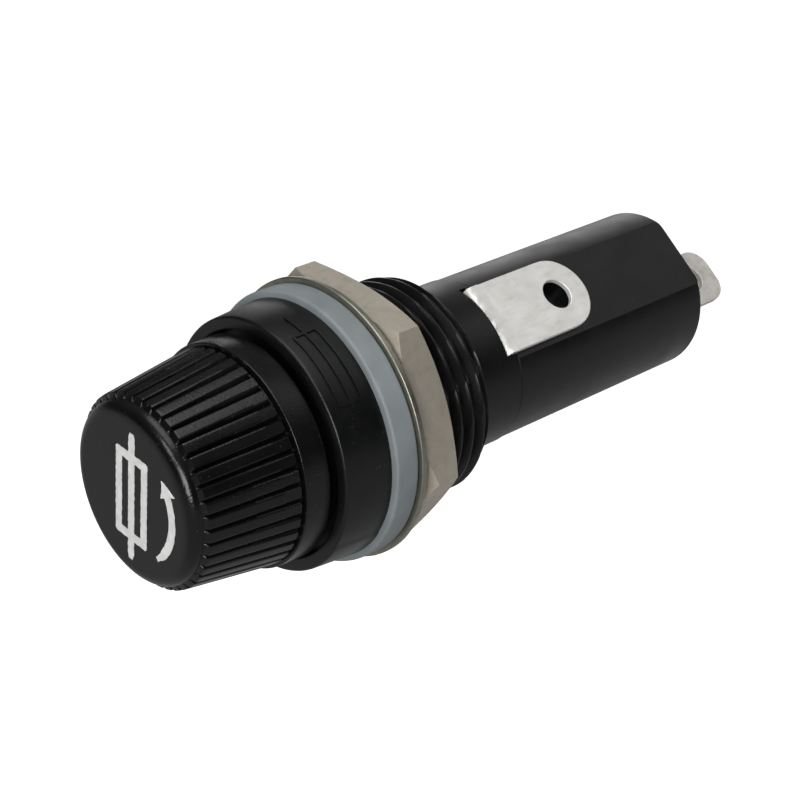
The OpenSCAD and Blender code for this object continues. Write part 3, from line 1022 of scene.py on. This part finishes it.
def make_glass():
    y0, y1, r = span("fuse_glass")
    outline = rounded([(2.2, y0, 0.3), (r, y0, 0.3), (r, y1, 0.3), (2.2, y1, 0.3)])
    tube = lathe("glass_tube", outline, columns=96)
    return install(tube, "fuse", "fuse_glass", GLASS, "fuse_glass")


def make_cap(node, name):
    """Drawn cap with a rounded end and a rolled rim. Its closed end is away from the fuse's middle."""
    y0, y1, r = span(node)
    closed, rim, inward = (y0, y1, 1) if node == "fuse_cap_front" else (y1, y0, -1)
    inner_r = 3.01
    inner_y = closed + inward * 0.25
    outline = rounded([(0, closed), (r, closed, 0.3), (r, rim - inward * 0.5, 0.1),
                       (r - 0.05, rim, 0.06), (inner_r, rim, 0.03), (inner_r, inner_y, 0.1),
                       (0, inner_y)])
    cap = lathe(name, outline, columns=96)
    return install(cap, "fuse", "cap_plating", CAP_PLATE, node)


def make_wire():
    """Thin wire from cap to cap, with a slight wave."""
    y0, y1, _ = span("fuse_wire")
    wire_r = 0.07
    wave = 0.025
    steps = 60
    sides = 8
    points = []
    for i in range(steps + 1):
        x = wave * math.sin(3 * TURN * i / steps)
        y = y0 + (y1 - y0) * i / steps
        for j in range(sides):
            a = TURN * j / sides
            points.append((x + wire_r * math.cos(a), y, wire_r * math.sin(a)))
    wire = make("fuse_element", points, tube_faces(steps, sides))
    return install(wire, "fuse", "fuse_element", COPPER, "fuse_wire")


def make_solder(node, name):
    """Bead of solder with an uneven, domed surface."""
    y0, y1, r = span(node)
    base, top = (y0, y1) if node == "solder_front" else (y1, y0)
    rise = top - base
    outline = [(0, base), (r, base)]
    angles = [0.1 + 0.15 * k for k in range(10)]
    outline += [(r * math.cos(a) ** 0.7, base + rise * math.sin(a)) for a in angles]
    outline += [(0, top)]

    def lumpy(radius, y, angle):
        return radius * (0.93 + 0.07 * wander(math.cos(angle), y, math.sin(angle), 0.8, rise))

    bead = lathe(name, outline, columns=48, radius=lumpy)
    return install(bead, "fuse", "solder", SOLDER, node)


# ---------------------------------------------------------------- studio

AZIMUTH = math.radians(46.93)
ELEVATION = math.radians(26.91)
ROLL = math.radians(0.3)
LENS = 86.7
TARGET = Vector((0.32, 8.38, -0.75)) * MM
DISTANCE = 128.14 * MM
FLOOR_DROP = 0.30  # floor and lights are in metres
FLOOR_SIZE = 40.0
FLOOR_GLOW = 0.9


def aim(obj, place, target):
    """Stands an object at a place, looking at a target with its top up."""
    obj.location = place
    obj.rotation_euler = (Vector(target) - Vector(place)).to_track_quat("-Z", "Y").to_euler()


def add_camera():
    camera = bpy.data.objects.new("camera", bpy.data.cameras.new("camera"))
    camera.data.lens = LENS
    camera.data.sensor_width = 36
    camera.data.clip_start = 0.005
    camera.data.clip_end = 100
    away = Vector((math.sin(AZIMUTH) * math.cos(ELEVATION), -math.cos(AZIMUTH) * math.cos(ELEVATION),
                   math.sin(ELEVATION)))
    bpy.context.scene.collection.objects.link(camera)
    aim(camera, TARGET + away * DISTANCE, TARGET)
    camera.rotation_euler.rotate_axis("Z", ROLL)
    bpy.context.scene.camera = camera


def softbox(name, place, target, width, height, radiance):
    """Area light at a place, in metres, that faces a target."""
    light = bpy.data.lights.new(name, "AREA")
    light.shape = "RECTANGLE"
    light.size = width
    light.size_y = height
    light.energy = radiance * math.pi * width * height
    lamp = bpy.data.objects.new(name, light)
    bpy.context.scene.collection.objects.link(lamp)
    aim(lamp, Vector(place), Vector(target))


def add_room():
    """Dim even room, a little lighter overhead and below."""
    world = bpy.data.worlds.new("room")
    world.use_nodes = True
    tree = world.node_tree
    place = tree.nodes.new("ShaderNodeTexCoord")
    split = tree.nodes.new("ShaderNodeSeparateXYZ")
    tree.links.new(place.outputs["Generated"], split.inputs["Vector"])
    above = mapped(tree, split.outputs["Z"], 0, 1, 0.3, 0.9)
    below = mapped(tree, split.outputs["Z"], 1, 0, -0.15, 0.05)
    sky = blended(tree, above, (0.07, 0.07, 0.07), (0.34, 0.34, 0.34))
    room = blended(tree, below, sky, (0.60, 0.60, 0.60))
    back = tree.nodes["Background"]
    tree.links.new(room, back.inputs["Color"])
    back.inputs["Strength"].default_value = 0.6
    bpy.context.scene.world = world


def add_floor():
    """Pale floor, evenly white in every view. It's kept out of reflections and bounced light, since
    the photo shows none of it in the black plastic: the room and the softboxes light the object."""
    half = FLOOR_SIZE / 2
    corners = ((-half, -half), (half, -half), (half, half), (-half, half))
    floor = make("floor", [(x, y, -FLOOR_DROP) for x, y in corners], [(0, 1, 2, 3)])
    floor.data.materials.append(FLOOR)
    shader = FLOOR.node_tree.nodes["Principled BSDF"]
    shader.inputs["Emission Color"].default_value = (1, 1, 1, 1)
    shader.inputs["Emission Strength"].default_value = FLOOR_GLOW
    floor.visible_glossy = False
    floor.visible_diffuse = False


add_camera()
add_room()
add_floor()
softbox("overhead", (0.0, -0.04, 0.55), (0, 0, 0), 0.46, 0.46, 2.3)
softbox("back_top", (0.15, 0.36, 0.34), (0, 0, 0), 0.28, 0.28, 0.55)
softbox("back_left", (-0.38, 0.41, 0.10), (0, 0, 0.02), 0.32, 0.30, 1.1)
softbox("front_right", (0.26, -0.30, 0.12), (0, 0, 0), 0.19, 0.21, 9.0)
softbox("front_top", (0.06, -0.34, 0.27), (0, 0, 0), 0.13, 0.13, 7.0)
bpy.context.scene.view_settings.view_transform = "Standard"

make_knob()
make_marking()
make_housing()
make_gasket()
make_washer()
make_nut()
make_side_terminal()
make_rear_terminal()
make_sleeve()
make_ferrule()
make_clip()
make_plunger()
make_spring()
make_spring_seat()
make_glass()
make_cap("fuse_cap_front", "front_cap")
make_cap("fuse_cap_rear", "rear_cap")
make_wire()
make_solder("solder_front", "front_bead")
make_solder("solder_rear", "rear_bead")
